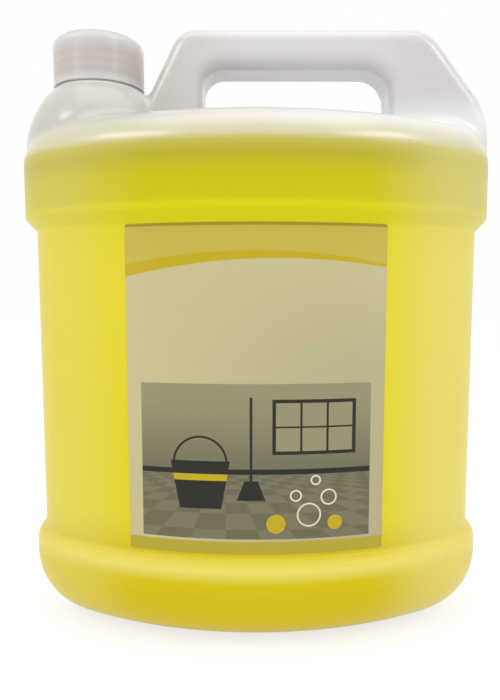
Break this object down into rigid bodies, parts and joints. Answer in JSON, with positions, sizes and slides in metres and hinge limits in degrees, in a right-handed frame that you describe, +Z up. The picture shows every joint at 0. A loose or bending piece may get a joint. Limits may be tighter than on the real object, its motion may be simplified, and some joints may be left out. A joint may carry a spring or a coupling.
{
  "type": "handled liquid bottle",
  "caption": "Full household cleaner bottle with an arched side handle, an offset neck with a smooth translucent screw cap, a recessed front label panel and a foot ring.",
  "frame": {"origin": "centre of the base, on the surface it stands on", "axes": "+Z up; the labelled front faces -Y; the neck stands at -X and the handle arches over +X"},
  "size_m": [0.2358, 0.1348, 0.2958],
  "materials": {
    "bottle": "satin",
    "liquid": "satin",
    "label": "satin",
    "cap": "satin",
    "liner": "matte"
  },
  "bodies": {
    "bottle_body": {"bottle": "bottle", "liquid": "liquid", "front_label": "label"},
    "liner_body": {"cap_liner": "liner"},
    "cap_body": {"screw_cap": "cap"}
  },
  "joints": [
    {"name": "cap_lift", "type": "slide", "parent": "bottle_body", "child": "liner_body", "axis": [0, 0, 1], "range_m": [0, 0.00841]},
    {"name": "cap_turn", "type": "hinge", "parent": "liner_body", "child": "cap_body", "pos_m": [-0.0802, 0, 0.2787], "axis": [0, 0, 1], "range_deg": [0, 720]}
  ],
  "couplings": [
    {"joint": "cap_lift", "follows": "cap_turn", "m_per_rad": 0.00066845}
  ]
}
